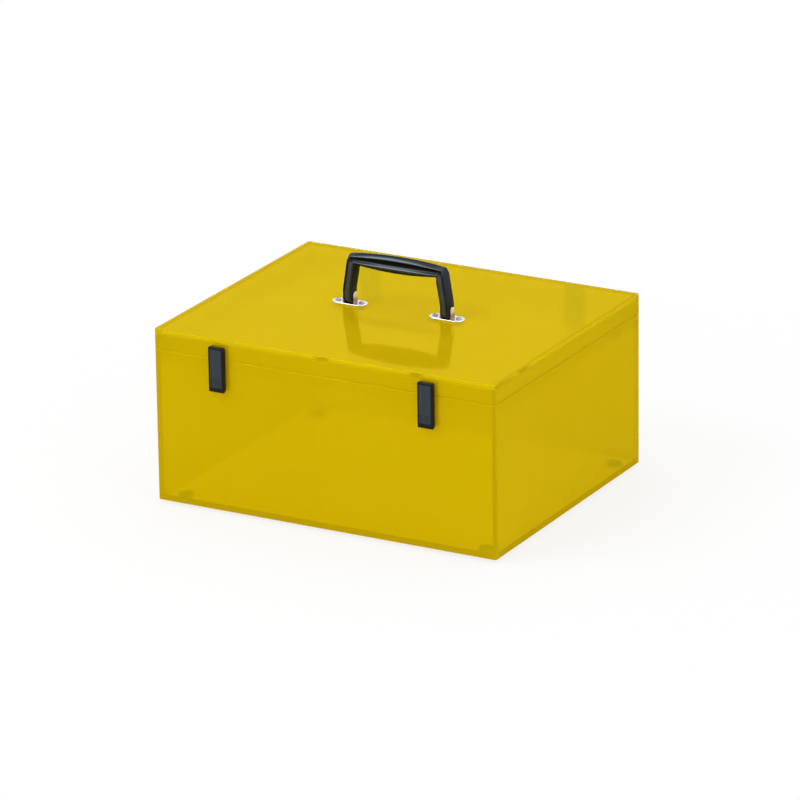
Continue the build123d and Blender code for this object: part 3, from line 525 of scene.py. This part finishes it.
def half_outline(out, shoulder, end, middle, radius):
    """One side of the handle's outline in X and Z over the lid, from the neck's end to the middle."""
    path = []
    widest = asin(NECK_HALF / NECK_ROUND)
    for i in range(1, NECK_END_STEPS + 1):
        path.append(Vector((out, PIVOT_UP - NECK_ROUND * cos(widest * i / NECK_END_STEPS))))
    straight_from = path[-1].y
    for i in range(1, NECK_STEPS):
        path.append(Vector((out, straight_from + (NECK_TOP - straight_from) * i / NECK_STEPS)))
    for i in range(LEG_STEPS):
        t = i / LEG_STEPS
        path.append(Vector((out + (shoulder - out) * t, NECK_TOP + (end - NECK_TOP) * t)))
    along = shoulder * CORNER_TOWARDS
    after = Vector((along, arc_height(along, shoulder, end, middle)))
    before = path.pop()  # the rounded corner takes its place
    path += rounded_corner(before, Vector((shoulder, end)), after, radius)
    first = path[-1].x
    for i in range(1, CROWN_STEPS + 1):
        x = first * (1 - i / CROWN_STEPS)
        path.append(Vector((x, arc_height(x, shoulder, end, middle))))
    return path


def smooth_step(value, low, high):
    """0 up to low, 1 from high on, and a smooth rise between."""
    t = min(max((value - low) / (high - low), 0.0), 1.0)
    return t * t * (3 - 2 * t)


def eased(points):
    """The profile with its corners eased, and flat between them."""
    for cut in EASES:
        rounder = [points[0]]
        for near, far in zip(points, points[1:]):
            rounder += [near.lerp(far, cut), near.lerp(far, 1 - cut)]
        points = [*rounder, points[-1]]
    return points


def section(outer, inner, mirror):
    """Points and share of painted light around one section of the handle, from its outer to its inner edge and
    back.
    """
    thickness = (outer - inner).length
    grip = smooth_step(outer.y, END_TOP - LEG_EASE, END_TOP)  # 0 on the legs, 1 along the grip
    over_neck = smooth_step(outer.y, *(NECK_TOP * share for share in NECK_EASE))
    below = max(PIVOT_UP - outer.y, 0.0)
    neck = min(sqrt(NECK_ROUND**2 - below**2), NECK_HALF)
    half = []
    corners = [Vector(leg).lerp(Vector(top), grip) for leg, top in zip(LEG_PROFILE, GRIP_PROFILE)]
    for t, rolled, painted_light in eased(corners):
        edge = min(t, 1 - t) * thickness
        square = 1.0 if edge > NECK_CORNER else sqrt(1 - (1 - edge / NECK_CORNER) ** 2)
        depth = rolled * MM * over_neck + neck * square * (1 - over_neck)
        place = outer.lerp(inner, t)
        half.append((Vector((mirror * place.x, depth, LID_TOP + place.y)), painted_light))
    return half + [(Vector((p.x, -p.y, p.z)), painted_light) for p, painted_light in reversed(half[1:-1])]


def pin_bore():
    """A rod through both necks, where the handle's pins run."""
    made = bmesh.new()
    turned = Matrix.Translation(PIVOT) @ Matrix.Rotation(pi / 2, 4, "Y")
    length = 3 * SHOULDER_OUT  # longer than the handle is wide
    sizes = {"radius1": PIN_BORE, "radius2": PIN_BORE, "depth": length}
    bmesh.ops.create_cone(made, cap_ends=True, segments=BORE_SIDES, matrix=turned, **sizes)
    return made


def lofted_handle():
    """The handle: a thin upper roll, a hollow and a full lower roll, running on down both legs."""
    outer = half_outline(NECK_OUT, SHOULDER_OUT, END_TOP, MIDDLE_TOP, OUTER_CORNER)
    inner = half_outline(NECK_IN, SHOULDER_IN, END_UNDER, MIDDLE_UNDER, INNER_CORNER)
    edges = list(zip(outer, inner))
    sections = [section(*edge, -1) for edge in edges]
    sections += [section(*edge, 1) for edge in reversed(edges[:-1])]
    made = bmesh.new()
    painted_light_layer = made.verts.layers.float.new("painted_light")
    rings = []
    for points in sections:
        rings.append([])
        for point, painted_light in points:
            vertex = made.verts.new(point)
            vertex[painted_light_layer] = painted_light
            rings[-1].append(vertex)
    join_rings(made, rings)
    made.faces.new(rings[0])
    made.faces.new(rings[-1])
    mesh = mesh_from(made, "handle_loft")
    mesh.shade_smooth()
    handle = mesh_piece("handle_loft", cut_mesh(mesh, pin_bore()), "handle", "handle_plastic")
    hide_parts("handle_grip")


lofted_handle()

# ---------------------------------------------------------------- seats of the handle

EAR_IN, EAR_OUT = 5.05 * MM, 6.2 * MM  # from a seat's middle to the faces of its ears
EAR_HALF_DEPTH = 3.3 * MM
EAR_RISE = 3.7 * MM  # from the pins to the top of an ear
EAR_CROWN = 0.35 * MM  # of an ear's rounded outside
EAR_BEND = 1.1 * MM  # radius from the plate into an ear
TOP_STEPS, CROWN_RINGS, SIDE_STEPS = 20, 14, 12
SIDE_CROWDING = 1.5  # brings the points up an ear's sides closer together at its foot
WELD = 0.001 * MM  # points nearer than this become one, as those that meet in an ear's middle
SEAT_SPREAD = 52.0 * MM  # handle's middle to the middle of each seat
PLATE = 1.6 * MM
PLATE_TOP = LID_TOP + PLATE
PIN_RADIUS, PIN_EASE, PIN_INSET = 2.0 * MM, 0.3 * MM, 0.2 * MM
PIN_SIDES = 40


def seat_plate(side):
    """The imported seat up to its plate's top; pressed ears take the place of its flat ones."""
    node = nodes[f"handle_seat_{side}"]
    low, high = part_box(f"handle_seat_{side}")
    half = high.x - low.x  # of a cube that is wider than the seat, and stands on the plate
    above = bmesh.new()
    bmesh.ops.create_cube(above, size=2 * half)
    bmesh.ops.translate(above, verts=above.verts, vec=((low.x + high.x) / 2, 0, PLATE_TOP + half))
    mesh = cut_mesh(node.data.copy(), above)
    mesh.name = f"seat_plate_{side}"
    plate = mesh_piece(f"seat_plate_{side}", mesh, "lid", "chrome")
    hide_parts(f"handle_seat_{side}")


def pressed_ear(name, x, side):
    """An ear bent up out of the plate, with a rounded outside that covers the end of its pin."""
    made = bmesh.new()
    to_pins = PIVOT.z - PLATE_TOP

    def point(angle, share, z):
        """A point a share of the way out from the middle line; angle 0 is straight up."""
        height = z - PLATE_TOP
        low = 1 - height / to_pins  # 1 at the plate, 0 at the pins
        bend = EAR_BEND - sqrt(EAR_BEND**2 - (EAR_BEND - height) ** 2) if height < EAR_BEND else 0.0
        crown = EAR_CROWN * sqrt(1 - share**2) * (1 - low**3)
        deep = EAR_HALF_DEPTH * share * sin(angle)
        rise = EAR_RISE * share * cos(angle)
        return Vector((x + side * (EAR_OUT + crown + bend), deep, z + rise))

    sides = [PLATE_TOP + to_pins * (i / SIDE_STEPS) ** SIDE_CROWDING for i in range(SIDE_STEPS)]
    rings = []
    for ring in range(CROWN_RINGS + 1):
        share = cos(ring / CROWN_RINGS * pi / 2)
        line = [point(-pi / 2, share, z) for z in sides]
        line += [point(-pi / 2 + pi * i / TOP_STEPS, share, PIVOT.z) for i in range(TOP_STEPS + 1)]
        line += [point(pi / 2, share, z) for z in reversed(sides)]
        rings.append([made.verts.new(p) for p in line])
    back = [made.verts.new(Vector((x + side * EAR_IN, v.co.y, v.co.z))) for v in rings[0]]
    for near, far in zip([back, *rings], rings):
        for i in range(len(far) - 1):
            made.faces.new((near[i], near[i + 1], far[i + 1], far[i]))
    made.faces.new(back)
    foot = [ring[0] for ring in [back, *rings]] + [ring[-1] for ring in [*reversed(rings), back]]
    made.faces.new(foot)
    bmesh.ops.remove_doubles(made, verts=made.verts, dist=WELD)
    mesh = mesh_from(made, name)
    for polygon in mesh.polygons:
        polygon.use_smooth = len(polygon.vertices) <= 4  # the back and the foot stay flat
    mesh_piece(name, mesh, "lid", "chrome", ear_look)


def short_pin(side, x):
    """A pin whose eased ends stop inside its two ears, just short of their outer faces."""
    half = EAR_OUT - PIN_INSET
    outline = ((half, 0.0), (half, PIN_RADIUS - PIN_EASE), (half - PIN_EASE, PIN_RADIUS))
    outline += tuple((-along, radius) for along, radius in reversed(outline))
    made = bmesh.new()

    def vertex(along, radius, turn):
        return made.verts.new(PIVOT + Vector((x + along, radius * sin(turn), radius * cos(turn))))

    turns = [2 * pi * i / PIN_SIDES for i in range(PIN_SIDES)]
    rings = []
    for along, radius in outline:
        if radius == 0.0:
            rings.append([vertex(along, radius, 0.0)] * PIN_SIDES)
        else:
            rings.append([vertex(along, radius, turn) for turn in turns])
    join_rings(made, rings)
    mesh = mesh_from(made, f"short_pin_{side}")
    pin = mesh_piece(f"short_pin_{side}", mesh, "lid", "chrome")
    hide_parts(f"handle_pin_{side}")


ear_look = ear_plating(PLATE_TOP, PIVOT.z + EAR_RISE)
for seat, x in (("left", -SEAT_SPREAD), ("right", SEAT_SPREAD)):
    seat_plate(seat)
    short_pin(seat, x)
    for face, side in (("left", -1), ("right", 1)):
        pressed_ear(f"seat_ear_{seat}_{face}", x, side)

# ---------------------------------------------------------------- camera

# The view of the photograph, about the middle of the box's underside
FOOT_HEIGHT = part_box("bottom_panel")[0].z
VIEW_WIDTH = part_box("front_panel")[1].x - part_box("front_panel")[0].x
AZIMUTH, ELEVATION, ROLL = radians(28.89), radians(19.56), radians(0.779)
DISTANCE = 16.089  # in box widths
ASIDE, BELOW = 0.0019, 0.2117  # the picture's middle from the underside's middle, in box widths
FOCAL_PIXELS, PICTURE_PIXELS = 6098, 800  # focal length and width of the photograph
SENSOR = 36.0  # width in mm
FARTHEST = 100.0  # what the camera still sees


def photograph_camera():
    """The camera fitted to the photograph."""
    back = Vector((sin(AZIMUTH) * cos(ELEVATION), -cos(AZIMUTH) * cos(ELEVATION), sin(ELEVATION)))
    right = Vector((cos(AZIMUTH), sin(AZIMUTH), 0.0))
    up = back.cross(right)
    turned_right = right * cos(ROLL) - up * sin(ROLL)
    turned_up = right * sin(ROLL) + up * cos(ROLL)
    offset = VIEW_WIDTH * (turned_right * -ASIDE + turned_up * BELOW + back * DISTANCE)
    data = bpy.data.cameras.new("camera")
    data.sensor_width = SENSOR
    data.lens = SENSOR * (FOCAL_PIXELS / PICTURE_PIXELS)
    data.clip_end = FARTHEST
    camera = new_object("camera", data)
    place = Vector((0.0, 0.0, FOOT_HEIGHT)) + offset
    turn = Matrix((turned_right, turned_up, back)).transposed().to_4x4()
    camera.matrix_world = Matrix.Translation(place) @ turn
    bpy.context.scene.camera = camera


photograph_camera()

# ---------------------------------------------------------------- floor, world and lamps

FLOOR_SIZE = 30.0
FLOOR_OWN_LIGHT = 0.78  # share of the floor's white that doesn't take shadow, under the box
FLOOR_FADE = (0.22, 0.75)  # from the middle of the box, where that share grows to the whole


def pale_floor():
    """A floor that is seen as white, apart from the box's soft shadow."""
    mesh = bpy.data.meshes.new("floor")
    half = FLOOR_SIZE / 2
    corners = [(-half, -half, 0), (half, -half, 0), (half, half, 0), (-half, half, 0)]
    mesh.from_pydata(corners, [], [(0, 1, 2, 3)])
    floor = new_object("floor", mesh)
    s = Shader("floor")
    matt = s.node("BsdfDiffuse", Color=FLOOR_PALE)
    light = s.node("Emission", Color=WHITE, Strength=1.0)
    away = s.node("VectorMath", {"operation": "LENGTH"})
    s.set(away.inputs[0], s.place)
    own_light = s.span(away.outputs["Value"], FLOOR_OWN_LIGHT, 1.0, *FLOOR_FADE)
    seen = s.math("MULTIPLY", s.in_sight(), own_light)
    mesh.materials.append(s.finish(s.mixed(seen, matt, light)))


def soft_world(strength):
    """A plain surround of that strength, which is seen as white."""
    world = bpy.data.worlds.new("world")
    bpy.context.scene.world = world
    s = Nodes(world, "OutputWorld")
    lit = s.node("Background", Color=WHITE, Strength=strength)
    seen = s.node("Background", Color=WHITE)
    s.finish(s.mixed(s.in_sight(), lit, seen))


def soft_lamp(name, place, width, height, power):
    """A rectangular area lamp that points at the middle of the box."""
    data = bpy.data.lights.new(name, "AREA")
    data.shape = "RECTANGLE"
    data.size = width
    data.size_y = height
    data.energy = power
    lamp = new_object(name, data)
    target = Vector((0.0, 0.0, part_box("front_panel")[1].z / 2))
    lamp.location = place
    lamp.rotation_euler = (Vector(place) - target).to_track_quat("Z", "Y").to_euler()


pale_floor()
soft_world(strength=0.60)
soft_lamp("key", place=(-1.1, -1.25, 1.85), width=1.6, height=0.55, power=19.6)
soft_lamp("fill", place=(2.0, -0.6, 1.0), width=1.4, height=1.4, power=5.6)
soft_lamp("top", place=(0.1, 0.5, 1.8), width=2.2, height=2.2, power=11.0)
